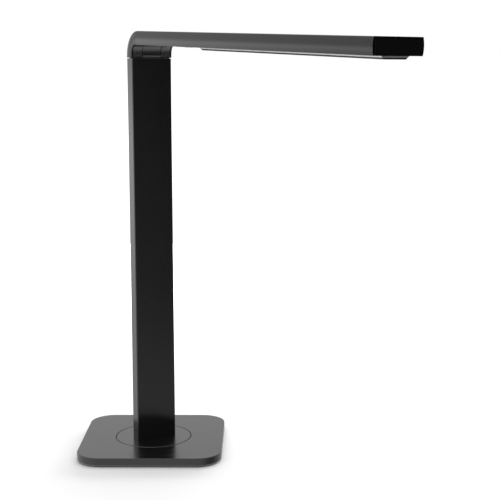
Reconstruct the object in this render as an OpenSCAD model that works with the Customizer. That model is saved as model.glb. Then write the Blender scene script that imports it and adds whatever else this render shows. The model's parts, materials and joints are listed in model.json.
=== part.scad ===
// Document camera on a folding light arm, in millimetres.
// The origin is the centre of the turntable on the base's underside.
// +Z is up and -Y faces the user.

/* [Base] */
// Width of the base
base_w = 150.8; // [145:0.1:160]
// Depth of the base
base_d = 153; // [145:1:160]
// Radius of the base's corners, seen from above
base_corner_r = 26; // [20:0.5:28]
// Wall thickness of the base cover
base_wall = 1.8; // [1.5:0.1:2.2]
// Chamfer around the top edge of the base cover
base_chamfer = 0.5; // [0.3:0.1:0.8]
// Undercut around the bottom edge of the base cover
base_undercut = 1.3; // [0.8:0.1:1.3]
// Thickness of the anti-slip pad
pad_t = 0.9; // [0.7:0.1:1.2]
// Thickness of the bottom plate
plate_t = 1; // [0.8:0.1:1.2]
// Thickness of the steel weight
weight_t = 5.6; // [5.4:0.1:6.5]
// Thickness of the cover's top and of the turntable
top_t = 1.6; // [1.5:0.1:2]

/* [Swivel] */
// Radius of the turntable
disc_r = 40.2; // [38:0.1:42]
// Gap between the turntable and the cover
disc_gap = 0.6; // [0.5:0.1:1]
// Chamfer on both sides of that gap
disc_chamfer = 0.5; // [0.2:0.1:0.6]
// Radius of the swivel shaft
shaft_r = 9; // [8:0.5:10]
// Radial running clearance of the shaft and of the hinge pin
running = 0.05; // [0.02:0.01:0.08]
// Angle of the arm from straight ahead, turned to the right
arm_turn = 30.4; // [-60:0.1:60]
// Distance of the column's front face ahead of the swivel axis
column_front = 8.3; // [7:0.1:10]

/* [Column] */
// Width of the column
column_w = 44.4; // [42:0.1:44.8]
// Thickness of the column
column_t = 12.5; // [12:0.1:13]
// Wall thickness of the column
column_wall = 1.5; // [1.2:0.1:1.6]
// Radius of the long edges of the column and the arm
edge_r = 0.9; // [0.6:0.1:1.2]
// Height of the column's top edge
column_top = 413.6; // [380:0.1:440]

/* [Hinge] */
// Distance of the hinge pin behind the column's front face
hinge_in = 3.1; // [3:0.1:3.3]
// Height of the hinge pin above the column
hinge_up = 6; // [5.9:0.1:6.2]
// Radius of the hinge pin
pin_r = 2; // [1.5:0.1:2]
// Width of the middle knuckle
tongue_w = 20.2; // [18:0.1:22]
// Gap between neighbouring knuckles
knuckle_gap = 0.7; // [0.4:0.1:0.9]

/* [Arm] */
// Length of the arm from the back of the column
arm_l = 428; // [420:0.1:440]
// Width of the arm
arm_w = 46.2; // [46:0.1:46.8]
// Swelling of each side of the arm at its middle height
arm_crown = 0.9; // [0.5:0.1:1]
// Depth of the arm
arm_h = 13.8; // [13.5:0.1:14.2]
// Wall thickness of the arm's shell
arm_wall = 1.5; // [1.3:0.1:1.6]
// Angle by which the arm droops from level
arm_droop = 2.35; // [0:0.05:3]
// Outer radius of the elbow
elbow_r = 25; // [24:0.5:26]
// Radius of the hollow curve inside the elbow
fillet_r = 7.5; // [7.3:0.1:7.7]

/* [Light] */
// Start of the light bar along the arm
light_start = 141.5; // [140:0.5:160]
// Distance from the light bar's end to the arm's end
light_end_gap = 3; // [2:0.5:6]
// Width of the light bar against the arm
light_w = 25.2; // [24:0.1:26]
// Width of the light bar's lower face
light_face_w = 20; // [19:0.1:20.4]
// Depth of the light bar below the arm
light_drop = 2.6; // [2.4:0.1:3.2]
// Number of light-emitting diodes in each of two rows
led_count = 20; // [8:1:24]

/* [Camera] */
// Distance from the lens to the arm's end
lens_end_gap = 19; // [17:0.5:21]
// Radius of the lens window
window_r = 4.6; // [4.4:0.1:5]

/* [Control] */
// Middle of the control pad along the arm
pad_x = 98.5; // [90:0.5:105]
// Length of the control pad
pad_l = 30; // [24:1:30]
// Width of the control pad
pad_w = 14; // [12:0.5:16]
// Depth of the control pad below the arm
pad_drop = 0.6; // [0.4:0.1:0.7]
// Radius of the lamp button
button_r = 4.5; // [3.5:0.1:5]

/* [Hidden] */
$fn = 64;

// Clearance between pieces that fit into each other, and how far cuts run past a face
fit_gap = 0.1;
past = 1;

// Screws
screw_r = 1.5;
head_r = 2.6;
head_h = 1.2;

// Levels in the base
plate_z = pad_t;
weight_z = plate_z + plate_t;
washer_z = weight_z + weight_t;
slide_t = 0.5;
disc_z = washer_z + slide_t;
base_h = disc_z + top_t;
cover_rim = 7;

// Swivel
flange_r = 24;
flange_t = 1.4;
bush_wall = 2;
bush_z = weight_z + 2;
bush_top = disc_z - flange_t - 0.5;
nut_r = shaft_r + 4;
nut_z = weight_z + 0.2;
nut_h = 1.2;
friction_t = 0.6;
shaft_bore_r = 5;
foot_screw_y = 14;
foot_screw_l = 11;
foot_h = 20;

// Screw bosses in the corners of the base
boss_in = 15;
boss_r = 4;
boss_gap = 0.5;
boss_roof = 1;

// USB socket and the board behind it
usb_w = 8.9;
usb_h = 3.2;
usb_l = 7.4;
usb_wall = 0.3;
usb_set_back = 0.2;
usb_z = weight_z + 2.8;
board_t = 1;
power_w = 20;
power_l = 17;
power_y = base_d / 2 - base_wall - 9;
lead_r = 1.5;
lead_y = flange_r - 8;

// Column, measured forwards from its back
column_x = column_front - column_t;
plug_w = column_w - 2 * column_wall;
flex_x = 2.3;
flex_t = 0.8;
flex_w = 8;
flex_gap_back = 0.5;
flex_gap_front = 0.7;
flex_gap_side = 0.5;

// Hinge and elbow, measured forwards from the column's back
hinge_x = column_t - hinge_in;
hinge_z = column_top + hinge_up;
leg_gap = 0.5;
leg_z = column_top + leg_gap;
leg_r = hinge_z - leg_z;
corner_h = 3.1;
under_z = hinge_z + 7.8;
arm_top = under_z + arm_h;
elbow_z = arm_top - elbow_r;
fillet_x = column_t + fillet_r;
fillet_z = under_z - fillet_r;
inner_w = arm_w - 2 * (arm_wall + arm_crown);
crown_r = arm_h * arm_h / 8 / arm_crown + arm_crown / 2;
knuckle_y = tongue_w / 2 + knuckle_gap;
knuckle_w = inner_w / 2 - fit_gap - knuckle_y;
flange_z = under_z + 4;
knuckle_flange_t = 2.2;
knuckle_screw_x = 45;
knuckle_screw_y = 12;
pin_head_r = pin_r + 1;
pin_head_t = 2.4;
pin_nut_t = 1.6;
pin_seat = inner_w / 2 - 3.4;
tongue_r = 5.2;
tongue_back = 3.8;
seal_t = 2.3;
seal_up = 2.4;
rim_up = 1.1;
rim_gap = 0.4;

// Cover plate under the arm and its screws
cover_t = 1.2;
cover_screw_x = [36, 127];
cover_screw_y = 15;
cover_cut_h = 5;
bridge_x = hinge_x + 7.4;
bridge_drop = 2;
end_cap_t = 3;

// Places along the arm and heights inside it
light_end = arm_l - light_end_gap;
light_mid_drop = light_drop / 2;
light_mid_w = (light_w + light_face_w) / 2;
light_end_t = 0.8;
light_end_lean = 0.7;
light_start_lean = 2.4;
window_w = 16;
lens_x = arm_l - lens_end_gap;
leds_start = light_start + 8;
leds_end = lens_x - 18;
led_z = under_z + 3.8;
led_size = [2.8, 3.5, 0.7];
camera_z = under_z + 6.4;
barrel_r = 3.8;
lens_r = 2.6;
switch_z = under_z + 2.7;
switch_h = 1.2;
button_flange_z = under_z + 1.15;

// Places and turns the children with the column
module on_column() {
    rotate([0, 0, arm_turn - 90])
        translate([column_x, 0, 0])
            children();
}

// Places the children with the arm, which droops about the hinge pin
module on_arm() {
    on_column()
        translate([hinge_x, 0, hinge_z])
            rotate([0, arm_droop, 0])
                translate([-hinge_x, 0, -hinge_z])
                    children();
}

// Block between two places along X and two heights, centred on a place in Y
module block(x0, x1, w, z0, z1, y = 0) {
    translate([x0, y - w / 2, z0])
        cube([x1 - x0, w, z1 - z0]);
}

// Upright cylinder between two heights
module post(r, z0, z1, x = 0, y = 0) {
    translate([x, y, z0])
        cylinder(r = r, h = z1 - z0);
}

// Side outline, in X and Z, made as wide as w along Y
module across(w, y = 0) {
    translate([0, y, 0])
        rotate([90, 0, 0])
            linear_extrude(w, center = true)
                children();
}

// Cross-section, in Y and Z, drawn out along X
module along(x0, x1) {
    translate([x0, 0, 0])
        rotate([90, 0, 90])
            linear_extrude(x1 - x0)
                children();
}

// Rectangle with round corners, centred
module round_rect(w, h, r) {
    square([w - 2 * r, h], center = true);
    square([w, h - 2 * r], center = true);
    for (x = [-1, 1], y = [-1, 1])
        translate([x * (w / 2 - r), y * (h / 2 - r)])
            circle(r);
}

// Slab with round corners, set in from the outline of the base, between two heights
module slab(inset, z0, z1) {
    translate([0, 0, z0])
        linear_extrude(z1 - z0)
            round_rect(base_w - 2 * inset, base_d - 2 * inset, base_corner_r - inset);
}

// Straight part of a leaning edge of the base, along X, between two heights and insets
module leaning_bar(half_l, y, z0, z1, inset0, inset1) {
    low = y - inset0;
    high = y - inset1;
    along(-half_l, half_l)
        polygon([[-low, z0], [low, z0], [high, z1], [-high, z1]]);
}

// Slab whose outline is set in by one amount at the bottom and another at the top
module leaning_slab(z0, z1, inset0, inset1) {
    x = base_w / 2 - base_corner_r;
    y = base_d / 2 - base_corner_r;
    leaning_bar(x, base_d / 2, z0, z1, inset0, inset1);
    rotate([0, 0, 90])
        leaning_bar(y, base_w / 2, z0, z1, inset0, inset1);
    for (i = [-1, 1], j = [-1, 1])
        translate([i * x, j * y, z0])
            cylinder(r1 = base_corner_r - inset0, r2 = base_corner_r - inset1, h = z1 - z0);
}

// Ring between two heights
module ring(r_out, r_in, z0, z1) {
    difference() {
        post(r_out, z0, z1);
        post(r_in, z0 - past, z1 + past);
    }
}

// Screw standing on its head
module screw(z0, z1, x = 0, y = 0, h = head_h) {
    post(head_r, z0, z0 + h, x, y);
    post(screw_r, z0, z1, x, y);
}

// Children at the four corners of the base where the screws are
module at_bosses() {
    for (x = [-1, 1], y = [-1, 1])
        translate([x * (base_w / 2 - boss_in), y * (base_d / 2 - boss_in), 0])
            children();
}

// Slot for the flexible lead inside the column
module flex_slot(z0, z1) {
    block(flex_x - flex_gap_back, flex_x + flex_t + flex_gap_front, flex_w + 2 * flex_gap_side, z0, z1);
}

// Base

module anti_slip_pad() {
    color("#202022")
        slab(base_wall + 0.5, 0, pad_t);
}

module base_plate() {
    color("#3a3a3c")
        difference() {
            slab(base_wall + fit_gap, plate_z, weight_z);
            at_bosses() post(head_r + fit_gap, plate_z - past, weight_z + past);
        }
}

module base_screws() {
    color("silver")
        at_bosses() screw(plate_z, washer_z - boss_roof - boss_gap, h = plate_t);
}

module base_weight() {
    color("#55585c")
        difference() {
            slab(base_wall + 2, weight_z, washer_z);
            at_bosses() post(boss_r + boss_gap, weight_z - past, washer_z + past);
            post(shaft_r + bush_wall, weight_z - past, washer_z + past);
            post(flange_r + 2, bush_top, washer_z + past);
            post(nut_r + 3, weight_z - past, bush_z);
            translate([-power_w / 2 - 2, power_y - power_l / 2 - 2, weight_z - past])
                cube([power_w + 4, power_l + 20, weight_t + 2 * past]);
            translate([-lead_r - 1, 0, weight_z - past])
                cube([2 * lead_r + 2, power_y, 2 * lead_r + 0.5 + past]);
        }
}

module base_cover() {
    color("#2f3032")
        difference() {
            union() {
                difference() {
                    union() {
                        leaning_slab(plate_z, plate_z + base_undercut, base_undercut, 0);
                        slab(0, plate_z + base_undercut, base_h - base_chamfer);
                        leaning_slab(base_h - base_chamfer, base_h, 0, base_chamfer);
                    }
                    slab(base_wall, plate_z - past, washer_z);
                    slab(base_wall + cover_rim, washer_z - past, disc_z);
                }
                at_bosses() post(boss_r, weight_z, washer_z + 0.2);
            }
            post(disc_r + disc_gap, plate_z, base_h + past);
            translate([0, 0, base_h - disc_chamfer])
                cylinder(r1 = disc_r + disc_gap, r2 = disc_r + disc_gap + 2 * disc_chamfer,
                         h = 2 * disc_chamfer);
            at_bosses() post(screw_r + running, weight_z - past, washer_z - boss_roof);
            translate([0, base_d / 2, usb_z])
                rotate([90, 0, 0])
                    linear_extrude(3 * base_wall, center = true)
                        round_rect(usb_w + 0.5, usb_h + 0.5, usb_h / 2);
        }
}

module swivel_bush() {
    color("#e4e2da")
        ring(shaft_r + bush_wall, shaft_r + running, bush_z, bush_top);
}

module slide_washer() {
    color("#e4e2da")
        ring(disc_r - 3, flange_r + 5, washer_z, disc_z - running);
}

module usb_socket() {
    mouth_w = usb_w - 2 * usb_wall;
    mouth_h = usb_h - 2 * usb_wall;
    color("silver")
        translate([0, base_d / 2 - usb_set_back, usb_z])
            rotate([90, 0, 0]) {
                difference() {
                    linear_extrude(usb_l)
                        round_rect(usb_w, usb_h, usb_h / 2 - 0.01);
                    translate([0, 0, -past])
                        linear_extrude(usb_l)
                            round_rect(mouth_w, mouth_h, mouth_h / 2 - 0.01);
                }
                translate([-3.3, -0.35, 0.8])
                    cube([6.6, 0.7, usb_l - 1.4]);
            }
}

module power_board() {
    color("#1f5a38")
        block(-power_w / 2, power_w / 2, power_l, weight_z, usb_z - usb_h / 2, power_y);
}

module base_lead() {
    color("#18181a")
        translate([0, lead_y, weight_z + lead_r + fit_gap])
            rotate([-90, 0, 0])
                cylinder(r = lead_r, h = power_y - power_l / 2 - lead_y);
}

// Column

module turntable() {
    color("#2f3032")
        difference() {
            union() {
                post(disc_r, disc_z, base_h - disc_chamfer);
                translate([0, 0, base_h - disc_chamfer])
                    cylinder(r1 = disc_r, r2 = disc_r - disc_chamfer, h = disc_chamfer);
            }
            on_column() {
                flex_slot(disc_z - past, base_h + past);
                for (y = [-1, 1])
                    post(screw_r + running, disc_z - past, base_h + past, column_t / 2, y * foot_screw_y);
            }
        }
}

module swivel_shaft() {
    color("silver")
        difference() {
            union() {
                post(flange_r, disc_z - flange_t, disc_z);
                post(shaft_r, nut_z, disc_z);
            }
            post(shaft_bore_r, 0, disc_z + past);
            on_column()
                for (y = [-1, 1]) {
                    post(screw_r + running, 0, disc_z + past, column_t / 2, y * foot_screw_y);
                    post(head_r + fit_gap, 0, disc_z - flange_t + head_h, column_t / 2, y * foot_screw_y);
                }
        }
}

module friction_washer() {
    color("silver")
        ring(nut_r, shaft_r + running, bush_z - friction_t, bush_z - running);
}

module swivel_nut() {
    color("silver")
        difference() {
            translate([0, 0, nut_z])
                cylinder(r = nut_r, h = nut_h, $fn = 6);
            post(shaft_r + running, 0, disc_z);
        }
}

module foot_block() {
    color("#8d9094")
        on_column()
            difference() {
                block(column_wall, column_t - column_wall, plug_w, base_h, base_h + foot_h);
                flex_slot(base_h - past, base_h + foot_h + past);
                for (y = [-1, 1])
                    post(screw_r + running, base_h - past, base_h + foot_screw_l + past,
                         column_t / 2, y * foot_screw_y);
            }
}

module foot_screws() {
    color("silver")
        on_column()
            for (y = [-1, 1])
                screw(disc_z - flange_t, base_h + foot_screw_l, column_t / 2, y * foot_screw_y);
}

module column_tube() {
    color("#2b2c2e")
        on_column()
            translate([column_t / 2, 0, base_h])
                linear_extrude(column_top - base_h)
                    difference() {
                        round_rect(column_t, column_w, edge_r);
                        square([column_t - 2 * column_wall, plug_w], center = true);
                    }
}

module column_flex() {
    color("#c98a3a")
        on_column()
            block(flex_x, flex_x + flex_t, flex_w, disc_z - 3, hinge_z - 2.8);
}

// Side outline of the middle knuckle, whose front follows the hollow of the elbow
module tongue_outline() {
    difference() {
        union() {
            translate([hinge_x - tongue_back, column_top])
                square([hinge_in + tongue_back, hinge_up]);
            translate([hinge_x, hinge_z]) circle(tongue_r);
            translate([hinge_x, hinge_z])
                polygon([[0, 0], [6, 0], [6.9, 6.7], [5.6, 6.8], [0, tongue_r]]);
        }
        translate([fillet_x, fillet_z]) circle(fillet_r);
        translate([hinge_x, hinge_z]) circle(pin_r + running);
    }
}

// Side outline of the cradle on top of the column, hollowed to clear the outer knuckles
module cradle_outline() {
    x = arm_wall + rim_gap;
    difference() {
        translate([x, column_top]) square([column_t - rim_gap - x, rim_up]);
        translate([hinge_x, hinge_z]) circle(leg_r + rim_gap);
    }
    translate([x, column_top]) square([seal_t, seal_up]);
}

module hinge_tongue() {
    color("#3a3b3d")
        on_column() {
            difference() {
                union() {
                    block(column_wall, column_t - column_wall, plug_w, column_top - foot_h, column_top);
                    across(inner_w - 2 * rim_gap) cradle_outline();
                }
                flex_slot(column_top - foot_h - past, column_top + seal_up + past);
            }
            across(tongue_w) tongue_outline();
        }
}

// Arm

// Part of a lower corner of the elbow that would catch on the column as the arm folds
module corner_cut(x) {
    difference() {
        translate([x, leg_z - past]) square([hinge_x, corner_h + past]);
        translate([hinge_x, hinge_z]) circle(leg_r);
    }
}

// Side outline of the arm, with the elbow's back set in by t
module arm_outline(t = 0) {
    difference() {
        union() {
            intersection() {
                translate([elbow_r, elbow_z]) circle(elbow_r - t);
                translate([0, elbow_z]) square(elbow_r);
            }
            translate([t, leg_z]) square([elbow_r - t, elbow_z - leg_z]);
            translate([elbow_r, under_z]) square([arm_l - elbow_r, arm_h - t]);
        }
        difference() {
            translate([column_t, leg_z - past]) square([arm_l, under_z - leg_z + past]);
            difference() {
                translate([column_t, fillet_z]) square(fillet_r);
                translate([fillet_x, fillet_z]) circle(fillet_r);
            }
        }
        corner_cut(hinge_x);
    }
}

// Cross-section of the arm and the elbow, reaching up from 0 to h, with swollen sides
module arm_section(h) {
    middle = h - arm_h / 2;
    crown_y = arm_w / 2 - crown_r;
    corner_z = h - edge_r;
    corner_y = crown_y + sqrt(pow(crown_r - edge_r, 2) - pow(corner_z - middle, 2));
    flat_w = arm_w - 2 * arm_crown;
    translate([-corner_y, 0]) square([2 * corner_y, h]);
    translate([-flat_w / 2, 0]) square([flat_w, middle]);
    for (y = [-1, 1])
        translate([y * corner_y, corner_z]) circle(edge_r);
    intersection() {
        translate([-arm_w / 2, h - arm_h]) square([arm_w, arm_h - edge_r]);
        translate([crown_y, middle]) circle(crown_r, $fn = 256);
        translate([-crown_y, middle]) circle(crown_r, $fn = 256);
    }
}

module hinge_pin() {
    color("silver")
        on_arm()
            translate([hinge_x, 0, hinge_z])
                rotate([90, 0, 0]) {
                    cylinder(r = pin_r, h = 2 * (pin_seat + pin_head_t), center = true);
                    translate([0, 0, pin_seat])
                        cylinder(r = pin_head_r, h = pin_head_t);
                }
}

module hinge_washers() {
    color("#1c1c1e")
        on_arm()
            for (y = [-1, 1])
                translate([hinge_x, y * (tongue_w + knuckle_gap) / 2, hinge_z])
                    rotate([90, 0, 0])
                        difference() {
                            cylinder(r = hinge_in - 0.3, h = knuckle_gap - 2 * running, center = true);
                            cylinder(r = pin_r + running, h = 2 * knuckle_gap, center = true);
                        }
}

module hinge_nut() {
    color("silver")
        on_arm()
            translate([hinge_x, pin_seat, hinge_z])
                rotate([-90, 0, 0])
                    difference() {
                        cylinder(r = pin_head_r, h = pin_nut_t);
                        cylinder(r = pin_r + running, h = 4 * pin_nut_t, center = true);
                    }
}

module hinge_knuckles() {
    color("#3a3b3d")
        on_arm()
            difference() {
                union() {
                    for (y = [-1, 1])
                        across(knuckle_w, y * (knuckle_y + knuckle_w / 2))
                            difference() {
                                intersection() {
                                    arm_outline(arm_wall + fit_gap);
                                    translate([0, leg_z])
                                        square([fillet_x, flange_z + knuckle_flange_t - leg_z]);
                                }
                                corner_cut(0);
                            }
                    block(15, knuckle_screw_x + 6, inner_w - 1, flange_z, flange_z + knuckle_flange_t);
                }
                translate([hinge_x, 0, hinge_z])
                    rotate([90, 0, 0]) {
                        cylinder(r = pin_r + running, h = arm_w, center = true);
                        for (y = [0, 1])
                            mirror([0, 0, y])
                                translate([0, 0, pin_seat])
                                    cylinder(r = pin_head_r + fit_gap, h = 6);
                    }
                for (y = [-1, 1]) {
                    post(screw_r + running, flange_z - past, arm_top, knuckle_screw_x, y * knuckle_screw_y);
                    post(screw_r + running, flange_z - past, arm_top, cover_screw_x[0], y * cover_screw_y);
                }
            }
}

module knuckle_screws() {
    color("silver")
        on_arm()
            for (y = [-1, 1])
                screw(flange_z - head_h, arm_top - arm_wall - 1, knuckle_screw_x, y * knuckle_screw_y);
}

// Hollow boss that hangs from the top of the arm's shell
module shell_boss(z, x, y) {
    difference() {
        post(screw_r * 2, z, arm_top - arm_wall / 2, x, y);
        post(screw_r + running, z - past, arm_top - arm_wall - 0.8, x, y);
    }
}

module arm_shell() {
    color("#2f3032")
        on_arm() {
            difference() {
                intersection() {
                    union() {
                        translate([0, 0, under_z])
                            along(elbow_r, arm_l) arm_section(arm_h);
                        translate([elbow_r, 0, elbow_z])
                            rotate([90, 0, 0])
                                rotate([0, 0, 90])
                                    rotate_extrude(angle = 90)
                                        intersection() {
                                            rotate(-90) arm_section(elbow_r);
                                            translate([0, -arm_w]) square([elbow_r, 2 * arm_w]);
                                        }
                        translate([elbow_r, 0, leg_z])
                            linear_extrude(elbow_z - leg_z)
                                rotate(90) arm_section(elbow_r);
                    }
                    across(arm_w + 2) arm_outline();
                }
                across(inner_w) {
                    intersection() {
                        translate([elbow_r, elbow_z]) circle(elbow_r - arm_wall);
                        translate([0, elbow_z]) square(elbow_r);
                    }
                    translate([arm_wall, leg_z - past]) square([elbow_r, elbow_z - leg_z + past]);
                    translate([elbow_r - past, leg_z]) square([arm_l, arm_top - arm_wall - leg_z]);
                }
            }
            for (y = [-1, 1]) {
                shell_boss(flange_z + knuckle_flange_t, knuckle_screw_x, y * knuckle_screw_y);
                shell_boss(under_z + cover_t, cover_screw_x[1], y * cover_screw_y);
            }
        }
}

module arm_underside() {
    color("#2b2c2e")
        on_arm() {
            difference() {
                block(fillet_x + fit_gap, arm_l - end_cap_t, inner_w - 2 * fit_gap,
                      under_z, under_z + cover_t);
                block(light_start + 3, light_end - 3, light_face_w, under_z - past, under_z + cover_cut_h);
                block(pad_x - pad_l / 2, pad_x + pad_l / 2, pad_w, under_z - past, under_z + cover_cut_h);
                for (x = cover_screw_x, y = [-1, 1])
                    post(head_r + running, under_z - past, under_z + cover_cut_h, x, y * cover_screw_y);
            }
            across(tongue_w)
                difference() {
                    translate([bridge_x, under_z - bridge_drop])
                        square([fillet_x + 2 * fit_gap - bridge_x, cover_t + bridge_drop]);
                    translate([fillet_x, fillet_z]) circle(fillet_r);
                }
        }
}

module underside_screws() {
    color("#1c1c1e")
        on_arm()
            for (x = cover_screw_x, y = [-1, 1])
                screw(under_z, flange_z + 2, x, y * cover_screw_y, h = cover_t);
}

module arm_end_cap() {
    color("#1c1c1e")
        on_arm()
            block(arm_l - end_cap_t, arm_l, inner_w - fit_gap, under_z, arm_top - arm_wall);
}

// Light

module heat_spreader() {
    color("silver")
        on_arm()
            block(leds_start - 3, leds_end + 3, 30, led_z + board_t, led_z + board_t + 2);
}

module led_board() {
    color("#e8e8e4")
        on_arm()
            block(leds_start - 3, leds_end + 3, window_w, led_z, led_z + board_t);
}

module leds() {
    pitch = (leds_end - leds_start) / (led_count - 1);
    color("#f0d878")
        on_arm()
            for (i = [0 : led_count - 1], y = [-1, 1])
                translate([leds_start + i * pitch, y * window_w / 4, led_z - led_size.z / 2])
                    cube(led_size, center = true);
}

// Cross-section of the light bar between two drops below the arm
module bar_section(w0, w1, drop0, drop1) {
    polygon([
        [-w0 / 2, under_z - drop0], [w0 / 2, under_z - drop0],
        [w1 / 2, under_z - drop1], [-w1 / 2, under_z - drop1]
    ]);
}

// Side outline of the light bar, whose ends lean in
module bar_outline() {
    polygon([
        [light_start, under_z], [light_end, under_z],
        [light_end - light_end_lean, under_z - light_drop],
        [light_start + light_start_lean, under_z - light_drop]
    ]);
}

// Slot in the light bar's lower face through which the light leaves
module light_slot(z0, z1) {
    block(light_start + 6, leds_end + 4, window_w, z0, z1);
}

module light_diffuser() {
    color("#f4f4f0")
        on_arm()
            difference() {
                union() {
                    intersection() {
                        along(light_start, light_end - light_end_t)
                            bar_section(light_w, light_mid_w, 0, light_mid_drop);
                        across(arm_w) bar_outline();
                    }
                    light_slot(under_z - light_drop + 0.3, under_z);
                    block(light_start + 3.2, light_end - 3.2, light_face_w - 0.4, under_z, under_z + 1.8);
                }
                post(window_r + 0.2, under_z - 5, under_z + 5, lens_x);
            }
}

module light_trim() {
    color("#1c1c1e")
        on_arm()
            difference() {
                intersection() {
                    along(light_start, light_end)
                        bar_section(light_mid_w, light_face_w, light_mid_drop, light_drop);
                    across(arm_w) bar_outline();
                }
                light_slot(under_z - 2 * light_drop, under_z);
                post(window_r, under_z - 2 * light_drop, under_z, lens_x);
            }
}

module light_end() {
    color("#5c5d60")
        on_arm()
            intersection() {
                along(light_end - light_end_t, light_end)
                    bar_section(light_w, light_mid_w, 0, light_mid_drop);
                across(arm_w) bar_outline();
            }
}

// Camera

module camera_board() {
    color("#1f5a38")
        on_arm()
            block(lens_x - 12, lens_x + 12, 24, camera_z, camera_z + board_t);
}

module image_sensor() {
    color("#30343c")
        on_arm()
            block(lens_x - 3.5, lens_x + 3.5, 7, camera_z - 0.9, camera_z);
}

module lens_holder() {
    color("#151517")
        on_arm()
            difference() {
                block(lens_x - 6, lens_x + 6, 12, camera_z - 4.4, camera_z);
                post(barrel_r + running, 0, camera_z - 2, lens_x);
                block(lens_x - 4, lens_x + 4, 8, camera_z - 2.2, camera_z + past);
            }
}

module lens_barrel() {
    color("#151517")
        on_arm()
            difference() {
                post(barrel_r, under_z - 1.2, camera_z - 2.2, lens_x);
                post(lens_r + running, under_z - 2, camera_z, lens_x);
            }
}

module lens_element() {
    color("#8fb0c8")
        on_arm()
            post(lens_r, under_z - 0.4, under_z + 1.4, lens_x);
}

module lens_window() {
    color("#202a34")
        on_arm()
            post(window_r - running, under_z - light_drop + 0.2, under_z - light_mid_drop, lens_x);
}

module arm_flex() {
    color("#c98a3a")
        on_arm()
            block(26, lens_x - 2, 9, camera_z + board_t, camera_z + board_t + 0.4);
}

// Control

module control_board() {
    board_z = switch_z + switch_h;
    color("#1f5a38")
        on_arm()
            block(pad_x - 12, pad_x + 12, 18, board_z, board_z + board_t);
}

module tact_switch() {
    color("silver")
        on_arm()
            block(pad_x - 2, pad_x + 2, 4, switch_z, switch_z + switch_h);
}

module control_pad() {
    color("#a8a9ab")
        on_arm()
            difference() {
                block(pad_x - pad_l / 2, pad_x + pad_l / 2, pad_w, under_z - pad_drop, under_z + 1.1);
                post(button_r + 2 * running, under_z - past, under_z + 2, pad_x);
            }
}

module lamp_button() {
    stem_z = button_flange_z + 0.65;
    color("#c8c9cb")
        on_arm() {
            post(button_r, under_z - pad_drop - 0.4, button_flange_z + 0.05, pad_x);
            post(button_r + 0.8, button_flange_z, stem_z, pad_x);
            post(1, stem_z, switch_z - 0.5, pad_x);
        }
}

anti_slip_pad();
base_plate();
base_screws();
base_weight();
base_cover();
swivel_bush();
slide_washer();
usb_socket();
power_board();
base_lead();
turntable();
swivel_shaft();
friction_washer();
swivel_nut();
foot_block();
foot_screws();
column_tube();
column_flex();
hinge_tongue();
hinge_pin();
hinge_washers();
hinge_nut();
hinge_knuckles();
knuckle_screws();
arm_shell();
arm_underside();
underside_screws();
arm_end_cap();
heat_spreader();
led_board();
leds();
light_diffuser();
light_trim();
light_end();
camera_board();
image_sensor();
lens_holder();
lens_barrel();
lens_element();
lens_window();
arm_flex();
control_board();
tact_switch();
control_pad();
lamp_button();
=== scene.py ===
import json
import math
import bpy
import bmesh
from mathutils import Matrix, Vector


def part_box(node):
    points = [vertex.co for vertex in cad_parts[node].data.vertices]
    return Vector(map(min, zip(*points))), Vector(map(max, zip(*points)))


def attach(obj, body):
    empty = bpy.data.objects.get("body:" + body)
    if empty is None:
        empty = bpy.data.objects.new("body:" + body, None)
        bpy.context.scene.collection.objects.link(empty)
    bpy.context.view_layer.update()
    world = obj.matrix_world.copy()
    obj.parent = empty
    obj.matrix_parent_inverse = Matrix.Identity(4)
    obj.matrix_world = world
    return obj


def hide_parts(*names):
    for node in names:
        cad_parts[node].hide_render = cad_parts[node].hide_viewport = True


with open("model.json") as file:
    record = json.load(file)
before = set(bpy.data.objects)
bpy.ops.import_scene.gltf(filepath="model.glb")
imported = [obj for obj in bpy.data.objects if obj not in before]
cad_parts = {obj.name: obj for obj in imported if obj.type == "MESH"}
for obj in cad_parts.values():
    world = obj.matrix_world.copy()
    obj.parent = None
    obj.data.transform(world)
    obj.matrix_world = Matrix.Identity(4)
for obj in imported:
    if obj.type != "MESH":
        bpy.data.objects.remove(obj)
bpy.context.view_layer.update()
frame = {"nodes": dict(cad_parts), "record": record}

NODES = frame["nodes"]
MM = 0.001


# ---------------------------------------------------------------- materials

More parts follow.
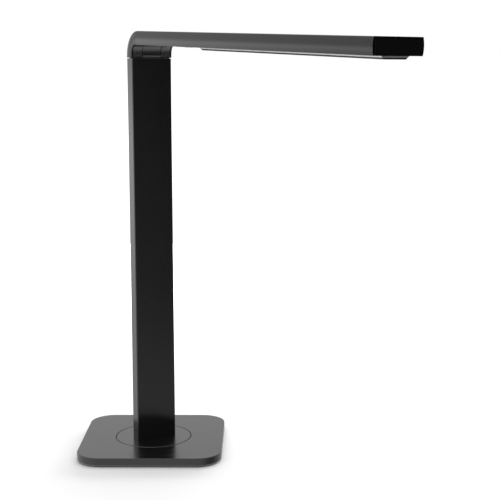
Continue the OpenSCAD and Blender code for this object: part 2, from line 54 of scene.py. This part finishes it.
class Graph:
    """A short way to write a node tree."""

    def __init__(self, owner):
        self.tree = owner.node_tree
        self.nodes = self.tree.nodes

    def add(self, kind, **settings):
        node = self.nodes.new("ShaderNode" + kind)
        for name, value in settings.items():
            setattr(node, name, value)
        return node

    def link(self, source, target):
        self.tree.links.new(source, target)

    def value(self, socket, value):
        """Sets a socket to a number, or links it to another socket."""
        if isinstance(value, bpy.types.NodeSocket):
            self.link(value, socket)
        else:
            socket.default_value = value

    def math(self, operation, a, b=0.0, clamp=False):
        node = self.add("Math", operation=operation, use_clamp=clamp)
        self.value(node.inputs[0], a)
        self.value(node.inputs[1], b)
        return node.outputs[0]

    def dot(self, source, direction):
        node = self.add("VectorMath", operation="DOT_PRODUCT")
        self.link(source, node.inputs[0])
        node.inputs[1].default_value = direction
        return node.outputs["Value"]

    def smooth(self, value, start, end, low, high, shape="SMOOTHSTEP"):
        """Goes from low at start to high at end."""
        node = self.add("MapRange", interpolation_type=shape)
        self.link(value, node.inputs["Value"])
        for name, number in zip(("From Min", "From Max", "To Min", "To Max"), (start, end, low, high)):
            node.inputs[name].default_value = number
        return node.outputs["Result"]

    def ramp(self, value, stops):
        """Reads a value off a line through (place, height) stops."""
        node = self.add("FloatCurve")
        curve = node.mapping.curves[0]
        low, high = stops[0][0], stops[-1][0]
        top = max(height for _, height in stops)
        for place, height in stops[1:-1]:
            curve.points.new((place - low) / (high - low), height / top)
        curve.points[0].location = (0.0, stops[0][1] / top)
        curve.points[-1].location = (1.0, stops[-1][1] / top)
        for point in curve.points:
            point.handle_type = "VECTOR"
        node.mapping.update()
        self.link(self.smooth(value, low, high, 0.0, 1.0, "LINEAR"), node.inputs["Value"])
        return self.math("MULTIPLY", node.outputs["Value"], top)

    def spread(self, value, low, high):
        """Maps 0..1 to low..high."""
        node = self.add("MapRange")
        self.value(node.inputs["Value"], value)
        node.inputs["To Min"].default_value = low
        node.inputs["To Max"].default_value = high
        return node.outputs["Result"]

    def place(self, stretch=(1, 1, 1)):
        """Object coordinates in millimetres, stretched."""
        coord = self.add("TexCoord")
        mapping = self.add("Mapping")
        self.link(coord.outputs["Object"], mapping.inputs["Vector"])
        mapping.inputs["Scale"].default_value = [s / MM for s in stretch]
        return mapping.outputs["Vector"]

    def noise(self, size, detail=2.0, stretch=(1, 1, 1)):
        """Noise whose features are about size millimetres across."""
        node = self.add("TexNoise")
        self.link(self.place(stretch), node.inputs["Vector"])
        node.inputs["Scale"].default_value = 1 / size
        node.inputs["Detail"].default_value = detail
        return node.outputs["Fac"]

    def mix(self, factor, a, b):
        node = self.add("Mix", data_type="RGBA")
        self.value(node.inputs["Factor"], factor)
        self.value(node.inputs["A"], a)
        self.value(node.inputs["B"], b)
        return node.outputs["Result"]

    def edges(self, radius):
        """1 on edges sharper than radius millimetres, 0 on flat surface."""
        bevel = self.add("Bevel", samples=4)
        bevel.inputs["Radius"].default_value = radius * MM
        geometry = self.add("NewGeometry")
        dot = self.add("VectorMath", operation="DOT_PRODUCT")
        self.link(bevel.outputs["Normal"], dot.inputs[0])
        self.link(geometry.outputs["Normal"], dot.inputs[1])
        away = self.math("SUBTRACT", 1.0, dot.outputs["Value"])
        return self.math("MULTIPLY", away, 6.0, clamp=True)

    def bump(self, height, strength, depth, normal=None):
        node = self.add("Bump")
        node.inputs["Strength"].default_value = strength
        node.inputs["Distance"].default_value = depth * MM
        self.link(height, node.inputs["Height"])
        if normal is not None:
            self.link(normal, node.inputs["Normal"])
        return node.outputs["Normal"]


def rgba(colour):
    return (*colour, 1.0) if len(colour) == 3 else tuple(colour)


def material(name, colour, roughness, metallic=0.0, grain=0.3, grain_depth=0.01, patch=25.0,
             vary=0.15, rough_vary=0.06, wear=0.0, wear_colour=(0.3, 0.3, 0.3), brushed=None, **shader):
    """A procedural finish: colour patches, uneven roughness, a fine grain and lighter edges that are partly
    real wear and partly a painted edge highlight.
    """
    m = bpy.data.materials.new(name)
    m.use_nodes = True
    g = Graph(m)
    bsdf = g.nodes["Principled BSDF"]
    bsdf.inputs["Metallic"].default_value = metallic
    for key, value in shader.items():
        bsdf.inputs[key.replace("_", " ").title().replace("Ior", "IOR")].default_value = value
    patches = g.noise(patch, 3.0)
    light = rgba([min(1.0, c * (1 + vary)) for c in colour[:3]])
    dark = rgba([c * (1 - vary) for c in colour[:3]])
    base = g.mix(patches, dark, light)
    stretch = brushed or (1, 1, 1)
    fine = g.noise(grain, 2.0, stretch)
    rough = g.spread(g.math("MULTIPLY", g.math("ADD", patches, fine), 0.5),
                     roughness - rough_vary, roughness + rough_vary)
    # Sharp edges go lighter where the noise allows: partly real edge wear, partly a painted highlight along
    # the edges.
    if wear > 0:
        scuffs_and_edge_highlight = g.math("MULTIPLY", g.edges(0.35), g.spread(g.noise(3.0, 4.0), -0.6, 1.5), clamp=True)
        amount = g.math("MULTIPLY", scuffs_and_edge_highlight, wear, clamp=True)
        base = g.mix(amount, base, rgba(wear_colour))
        rough = g.math("ADD", rough, g.math("MULTIPLY", amount, 0.12))
    g.link(base, bsdf.inputs["Base Color"])
    g.link(rough, bsdf.inputs["Roughness"])
    g.link(g.bump(fine, 0.35, grain_depth), bsdf.inputs["Normal"])
    return m


def coated(name, **changes):
    """The fine satin coating of the metal parts, with what differs on one of them."""
    # The light edge colour is partly real wear and partly a painted edge highlight.
    coating = dict(colour=(0.002, 0.002, 0.0021), roughness=0.18, grain=0.35, grain_depth=0.006,
                   wear=0.05, wear_colour=(0.10, 0.10, 0.105), rough_vary=0.04)
    return material(name, **{**coating, **changes})


FINISHES = {
    "arm_coating": coated("arm_coating", ior=1.49),
    "column_coating": coated("column_coating", ior=1.8),
    "base_coating": coated("base_coating", colour=(0.001, 0.001, 0.0011), roughness=0.25, ior=1.78),
    # The knuckles get the same satin coating with a lighter colour: painted light, standing in for the
    # brighter light on the knuckles.
    "knuckle_coating": coated("knuckle_coating", colour=(0.011, 0.011, 0.0113), roughness=0.26, ior=2.08),
    "underside_plastic": material("underside_plastic", (0.008, 0.008, 0.0085), 0.38, grain=0.5,
                                  grain_depth=0.012),
    "end_cap_plastic": material("end_cap_plastic", (0.0008, 0.0008, 0.0009), 0.36, grain=0.6,
                                grain_depth=0.01, ior=1.3),
    "trim_plastic": material("trim_plastic", (0.0008, 0.0008, 0.0009), 0.3, grain=0.6, grain_depth=0.004,
                             ior=1.42),
    "rubber": material("rubber", (0.018, 0.018, 0.018), 0.75, grain=0.6, grain_depth=0.08),
    "plate_steel": material("plate_steel", (0.03, 0.03, 0.032), 0.5, grain=0.4, grain_depth=0.01),
    "bright_steel": material("bright_steel", (0.62, 0.62, 0.63), 0.28, metallic=1.0, grain=0.3,
                             brushed=(1, 1, 8)),
    "weight_steel": material("weight_steel", (0.3, 0.3, 0.31), 0.4, metallic=1.0, grain=0.5),
    "connector_steel": material("connector_steel", (0.66, 0.66, 0.67), 0.22, metallic=1.0, grain=0.3),
    "plain_aluminium": material("plain_aluminium", (0.7, 0.7, 0.71), 0.35, metallic=1.0, grain=0.3,
                                brushed=(1, 6, 1)),
    "cast_block": material("cast_block", (0.42, 0.42, 0.43), 0.5, metallic=1.0, grain=0.8, grain_depth=0.03),
    "washer_black": material("washer_black", (0.001, 0.001, 0.001), 0.6, ior=1.2),
    "end_plastic": material("end_plastic", (0.1, 0.1, 0.101), 0.45, ior=1.4),
    # The screw heads' lighter edges are partly real wear and partly a painted edge highlight.
    "black_screw": material("black_screw", (0.02, 0.02, 0.021), 0.3, metallic=0.6, wear=0.3),
    "contact_gold": material("contact_gold", (0.83, 0.6, 0.25), 0.2, metallic=1.0, grain=0.1),
    "nylon": material("nylon", (0.78, 0.77, 0.72), 0.45),
    "circuit_board": material("circuit_board", (0.01, 0.09, 0.04), 0.35),
    "white_board": material("white_board", (0.8, 0.8, 0.78), 0.4),
    "flex_film": material("flex_film", (0.03, 0.016, 0.006), 0.35),
    "lead_sheath": material("lead_sheath", (0.015, 0.015, 0.015), 0.5),
    "led_phosphor": material("led_phosphor", (0.85, 0.66, 0.2), 0.25),
    "diffuser_plastic": material("diffuser_plastic", (0.44, 0.44, 0.43), 0.42, grain=0.25, grain_depth=0.01,
                                 vary=0.02),
    "sensor_black": material("sensor_black", (0.02, 0.02, 0.035), 0.12),
    "lens_plastic": material("lens_plastic", (0.006, 0.006, 0.006), 0.45, grain=0.25, grain_depth=0.02),
    "lens_glass": material("lens_glass", (0.75, 0.82, 0.9), 0.03, vary=0.02, rough_vary=0.01,
                           transmission_weight=0.9, ior=1.52),
    "window_glass": material("window_glass", (0.08, 0.09, 0.11), 0.04, vary=0.02, rough_vary=0.01,
                             transmission_weight=0.9, ior=1.5),
    "pad_grey": material("pad_grey", (0.36, 0.36, 0.37), 0.4),
    "button_grey": material("button_grey", (0.46, 0.46, 0.47), 0.35),
}


# ---------------------------------------------------------------- camera and studio

def make_camera():
    """The viewing angle: from in front, just below the arm."""
    data = bpy.data.cameras.new("camera")
    data.sensor_width = 36.0
    data.lens = 82.73
    camera = bpy.data.objects.new("camera", data)
    bpy.context.collection.objects.link(camera)
    camera.location = (0.11457, -1.2028, 0.3977)
    camera.rotation_euler = (math.radians(90 - 8.713), math.radians(0.07), math.radians(0.452))
    bpy.context.scene.camera = camera


def make_floor():
    """A white table that fades into the studio's white, and which the gloss of the metal doesn't mirror."""
    mesh = bpy.data.meshes.new("floor")
    bm = bmesh.new()
    bmesh.ops.create_circle(bm, cap_ends=True, radius=1.5, segments=96)
    bm.to_mesh(mesh)
    bm.free()
    floor = bpy.data.objects.new("floor", mesh)
    bpy.context.collection.objects.link(floor)
    m = bpy.data.materials.new("floor")
    m.use_nodes = True
    g = Graph(m)
    bsdf = g.nodes["Principled BSDF"]
    bsdf.inputs["Base Color"].default_value = (0.8, 0.8, 0.8, 1)
    bsdf.inputs["Roughness"].default_value = 1.0
    bsdf.inputs["Specular IOR Level"].default_value = 0.0
    bsdf.inputs["Emission Color"].default_value = (1, 1, 1, 1)
    distance = g.add("VectorMath", operation="LENGTH")
    g.link(g.add("TexCoord").outputs["Object"], distance.inputs[0])
    g.link(g.smooth(distance.outputs["Value"], 0.12, 1.0, 0.0, 1.0), bsdf.inputs["Emission Strength"])
    mesh.materials.append(m)
    floor.visible_glossy = False


def make_light(name, size, energy, location, target):
    """A soft panel that lights the table but isn't mirrored as a bright shape."""
    data = bpy.data.lights.new(name, "AREA")
    data.shape = "RECTANGLE"
    data.size, data.size_y = size
    data.energy = energy
    light = bpy.data.objects.new(name, data)
    bpy.context.collection.objects.link(light)
    light.location = location
    direction = Vector(target) - Vector(location)
    light.rotation_euler = direction.to_track_quat("-Z", "Y").to_euler()
    light.visible_glossy = False
    light.visible_camera = False


def direction_at(degrees, up):
    """Direction at an angle from +X towards +Y, tilted up."""
    turn = math.radians(degrees)
    return Vector((math.cos(turn), math.sin(turn), math.tan(math.radians(up)))).normalized()


# Brightness of the studio by height: (upward part of a ray's direction, brightness)
ELEVATIONS = [(-1.0, 0.5), (-0.29, 0.5), (-0.2, 0.95), (-0.12, 1.3), (-0.05, 1.5),
              (0.0, 1.1), (0.04, 0.8), (0.15, 0.8), (0.3, 0.84), (1.0, 0.95)]
# Where the studio is dark and where it is brightest, in degrees from +X towards +Y, and tilted up
DARK_SIDE = (-18, 2)
BRIGHT_SIDE = (151, 0)


def make_world():
    """A white studio: brightest low on the left behind, dark on the right in front."""
    world = bpy.data.worlds.new("studio")
    world.use_nodes = True
    bpy.context.scene.world = world
    g = Graph(world)
    background = g.nodes["Background"]
    background.inputs["Color"].default_value = (1, 1, 1, 1)
    way = g.add("TexCoord").outputs["Generated"]
    height = g.dot(way, Vector((0, 0, 1)))
    level = g.ramp(height, ELEVATIONS)
    off_dark = g.math("ARCCOSINE", g.dot(way, direction_at(*DARK_SIDE)))
    lobe = g.smooth(off_dark, math.radians(10), math.radians(56), 0.0, 1.0)
    side = g.smooth(g.dot(way, direction_at(*BRIGHT_SIDE)), -1.0, 1.0, 0.78, 1.02)
    glow = g.smooth(height, -0.2, -0.29, 0.0, 0.5)
    light = g.math("MULTIPLY", g.math("MULTIPLY", g.math("ADD", lobe, glow), side), level)
    seen = g.math("MAXIMUM", g.add("LightPath").outputs["Is Camera Ray"], light)
    g.link(seen, background.inputs["Strength"])
    bpy.context.scene.view_settings.view_transform = "Standard"


make_camera()
make_floor()
make_world()
make_light("overhead", (2.0, 2.0), 15.0, (0.2, 0.4, 1.8), (0, 0.1, 0))
make_light("behind", (4.0, 0.5), 120.0, (0.8, 2.2, 0.55), (0, 0, 0))


# ---------------------------------------------------------------- carried-over CAD nodes

SLOT_OF = {s["node"]: s["material_slot"] for s in frame["record"]["subparts"]}


def soften(obj, width):
    """Rounds a CAD node's sharp edges by width millimetres, with modifiers only."""
    weld = obj.modifiers.new("weld", "WELD")
    weld.merge_threshold = 0.000002
    bevel = obj.modifiers.new("bevel", "BEVEL")
    bevel.width = width * MM
    bevel.segments = 2
    bevel.limit_method = "ANGLE"
    bevel.angle_limit = math.radians(32)
    bevel.harden_normals = True
    normals = obj.modifiers.new("normals", "WEIGHTED_NORMAL")
    normals.keep_sharp = True


for node, obj in NODES.items():
    obj.data.materials.clear()
    obj.data.materials.append(FINISHES[SLOT_OF[node]])
for node in ("arm_shell", "column_tube", "base_cover", "hinge_knuckles", "hinge_tongue", "arm_end_cap",
             "arm_underside", "light_trim", "light_diffuser", "light_end", "control_pad"):
    soften(NODES[node], 0.25)

# ---------------------------------------------------------------- modelled pieces

JOINTS = {joint["name"]: joint for joint in frame["record"]["behaviour"]["joints"]}
ACROSS = Vector(JOINTS["arm_fold"]["axis"]).normalized()
UP = Vector(JOINTS["lamp_button_press"]["axis"]).normalized()
FORWARD = ACROSS.cross(UP).normalized()
ARM_AXES = Matrix((FORWARD, ACROSS, UP)).transposed()


def span(node):
    """Lowest and highest corner of a CAD node in millimetres along the arm's own axes."""
    obj = NODES[node]
    corners = [ARM_AXES.transposed() @ (obj.matrix_world @ v.co) / MM for v in obj.data.vertices]
    low = Vector([min(c[i] for c in corners) for i in range(3)])
    high = Vector([max(c[i] for c in corners) for i in range(3)])
    return low, high


def new_piece(name, bm, finish, sharp=30):
    """Makes an object of a bmesh drawn in millimetres."""
    bmesh.ops.remove_doubles(bm, verts=bm.verts, dist=0.0005)
    bmesh.ops.recalc_face_normals(bm, faces=bm.faces)
    bmesh.ops.scale(bm, vec=(MM, MM, MM), verts=bm.verts)
    for face in bm.faces:
        face.smooth = True
    mesh = bpy.data.meshes.new(name)
    bm.to_mesh(mesh)
    bm.free()
    mesh.set_sharp_from_angle(angle=math.radians(sharp))
    mesh.materials.append(FINISHES[finish])
    obj = bpy.data.objects.new(name, mesh)
    bpy.context.collection.objects.link(obj)
    return obj


def on_arm(obj, x, y, z, body="arm"):
    """Stands a piece on the arm's axes and lets it move with the body."""
    obj.matrix_world = ARM_AXES.to_4x4() @ Matrix.Translation(Vector((x, y, z)) * MM)
    bpy.context.view_layer.update()
    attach(obj, body)


def join_rings(bm, rings):
    """Joins each ring of points to the next with faces."""
    for lower, upper in zip(rings, rings[1:]):
        for k in range(len(lower)):
            n = (k + 1) % len(lower)
            bm.faces.new((lower[k], lower[n], upper[n], upper[k]))


def lathe(bm, profile, segments=64, x=0.0, y=0.0, shape=None):
    """Turns (radius, height) points about an upright axis. shape(i, angle) scales point i's radius."""
    rings = []
    for i, (radius, z) in enumerate(profile):
        ring = []
        for k in range(segments):
            angle = 2 * math.pi * k / segments
            r = radius * (shape(i, angle) if shape else 1.0)
            ring.append(bm.verts.new((x + r * math.cos(angle), y + r * math.sin(angle), z)))
        rings.append(ring)
    join_rings(bm, rings)
    for ring in (rings[0], rings[-1]):
        bm.faces.new(ring)


def tube(bm, section, segments=64):
    """Turns a closed (radius, height) section into a ring."""
    angles = [2 * math.pi * k / segments for k in range(segments)]
    rings = [[bm.verts.new((r * math.cos(a), r * math.sin(a), z)) for a in angles] for r, z in section]
    join_rings(bm, rings)


def arc(radius, z, r, start, end, steps=5):
    """Points of a rounding of size r about (radius, z), from one angle to another in degrees."""
    angles = [math.radians(start + (end - start) * k / steps) for k in range(steps + 1)]
    return [(radius + r * math.cos(a), z + r * math.sin(a)) for a in angles]


def middle_of(node):
    low, high = span(node)
    return (low + high) / 2, low, high


def make_button():
    """The lamp button: a dished cap with a rounded rim, a flange and a stem."""
    middle, low, high = middle_of("lamp_button")
    flange_r = (high.x - low.x) / 2
    flange_w = 0.8
    flange_t = 0.6
    cap_r = flange_r - flange_w
    cap_h = 1.6
    stem_r = 1.0
    rim_r = 0.35
    height = high.z - low.z
    dish_middle = 0.28
    dish_rise = 0.22
    steps = 8
    dish = [(cap_r * k / steps, dish_middle - dish_rise * (k / steps) ** 2) for k in range(1, steps - 1)]
    profile = dish + arc(cap_r - rim_r, rim_r, rim_r, -90, 0)
    profile += [(cap_r, cap_h), (flange_r, cap_h), (flange_r, cap_h + flange_t)]
    profile += [(stem_r, cap_h + flange_t), (stem_r, height)]
    bm = bmesh.new()
    lathe(bm, profile)
    obj = new_piece("button_cap", bm, "button_grey")
    on_arm(obj, middle.x, middle.y, low.z, "button")
    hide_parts("lamp_button")


def hexagon(angle):
    """Radius of a hexagon over that of its inner circle."""
    return 1 / math.cos((angle % (math.pi / 3)) - math.pi / 6)


def make_screws():
    """The four underside screws, with a chamfered head and a hexagonal socket."""
    low, high = span("underside_screws")
    head_r = 2.6
    head_h = 1.2
    socket_r = 1.05
    rim_r = 0.35
    thread_r = 1.5
    tip_r = 1.1
    tip_h = 0.4
    socket_h = 1.0
    floor_rise = 0.05
    lead_in = 0.08
    length = high.z - low.z
    socket = [(socket_r * 0.4, socket_h), (socket_r, socket_h - floor_rise)]
    socket += [(socket_r, lead_in), (socket_r * 1.12, 0.0)]
    head = [(head_r - rim_r, 0.0)] + arc(head_r - rim_r, rim_r, rim_r, -90, 0)
    shank = [(head_r, head_h), (thread_r, head_h), (thread_r, length - tip_h), (tip_r, length)]
    bm = bmesh.new()
    for x in (low.x + head_r, high.x - head_r):
        for y in (low.y + head_r, high.y - head_r):
            lathe(bm, socket + head + shank, 48, x, y,
                  lambda i, angle: hexagon(angle) if i < len(socket) else 1.0)
    obj = new_piece("underside_screw_heads", bm, "black_screw")
    on_arm(obj, 0, 0, low.z)
    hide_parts("underside_screws")


def make_lens():
    """The front lens, domed on the side that faces the table."""
    middle, low, high = middle_of("lens_element")
    r = (high.x - low.x) / 2
    sag = 0.9
    curve = (r * r + sag * sag) / (2 * sag)
    steps = 10
    radii = [r * k / steps for k in range(1, steps + 1)]
    dome = [(radius, curve - math.sqrt(curve ** 2 - radius ** 2)) for radius in radii]
    bm = bmesh.new()
    lathe(bm, dome + [(r, high.z - low.z)])
    obj = new_piece("front_lens", bm, "lens_glass", sharp=40)
    on_arm(obj, middle.x, middle.y, low.z)
    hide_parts("lens_element")


def make_window():
    """The cover glass in front of the lens, with a bevelled rim."""
    middle, low, high = middle_of("lens_window")
    r = (high.x - low.x) / 2
    top = high.z - low.z
    front_bevel_w = 0.25
    front_bevel_h = 0.2
    back_bevel = 0.1
    bm = bmesh.new()
    lathe(bm, [(r - front_bevel_w, 0.0), (r, front_bevel_h), (r, top - back_bevel), (r - back_bevel, top)])
    obj = new_piece("lens_cover_glass", bm, "window_glass")
    on_arm(obj, middle.x, middle.y, low.z)
    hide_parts("lens_window")


def make_mask():
    """The black ring on the inner face of the cover glass."""
    middle, low, high = middle_of("lens_window")
    side_gap = 0.05
    outer = (high.x - low.x) / 2 - side_gap
    inner = 3.1
    bottom = 0.02
    top = 0.12
    bm = bmesh.new()
    tube(bm, [(outer, bottom), (outer, top), (inner, top), (inner, bottom), (outer, bottom)])
    obj = new_piece("lens_mask_ring", bm, "lens_plastic")
    on_arm(obj, middle.x, middle.y, high.z)


def make_baffle():
    """Fine rings that step the lens barrel's mouth down to the glass."""
    middle, low, high = middle_of("lens_barrel")
    r = (high.x - low.x) / 2
    wall = 0.18
    height = 0.16
    lip = 0.15
    step_in = 0.3
    first_top = 0.02
    step_up = 0.12
    bm = bmesh.new()
    for step in range(3):
        outer = r - lip - step_in * step
        inner = outer - wall
        top = first_top + step_up * step
        bottom = top - height
        tube(bm, [(outer, top), (inner, top), (inner, bottom), (outer, bottom), (outer, top)], 48)
    obj = new_piece("barrel_rings", bm, "lens_plastic")
    on_arm(obj, middle.x, middle.y, low.z)


def add_bar(bm, x, y, z, size):
    """Adds a small block with bevelled edges, centred on a place."""
    made = bmesh.ops.create_cube(bm, size=1.0)
    verts = made["verts"]
    bmesh.ops.scale(bm, vec=size, verts=verts)
    bmesh.ops.translate(bm, vec=(x, y, z), verts=verts)
    edges = list({edge for vert in verts for edge in vert.link_edges})
    bmesh.ops.bevel(bm, geom=edges, offset=min(size) * 0.25, segments=1, affect="EDGES")


def make_contacts():
    """The gold contacts on both faces of the USB socket's tongue."""
    low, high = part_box("usb_socket")
    length = 2.6
    pitch = 0.5
    above = 0.36
    count = 12
    y = high[1] / MM - length
    z = (low[2] + high[2]) / 2 / MM
    bm = bmesh.new()
    for k in range(count):
        x = (k - (count - 1) / 2) * pitch
        for side in (-1, 1):
            add_bar(bm, x, y, z + side * above, (0.25, length, 0.04))
    obj = new_piece("usb_contacts", bm, "contact_gold")
    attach(obj, "base")


make_button()
make_screws()
make_lens()
make_window()
make_mask()
make_baffle()
make_contacts()
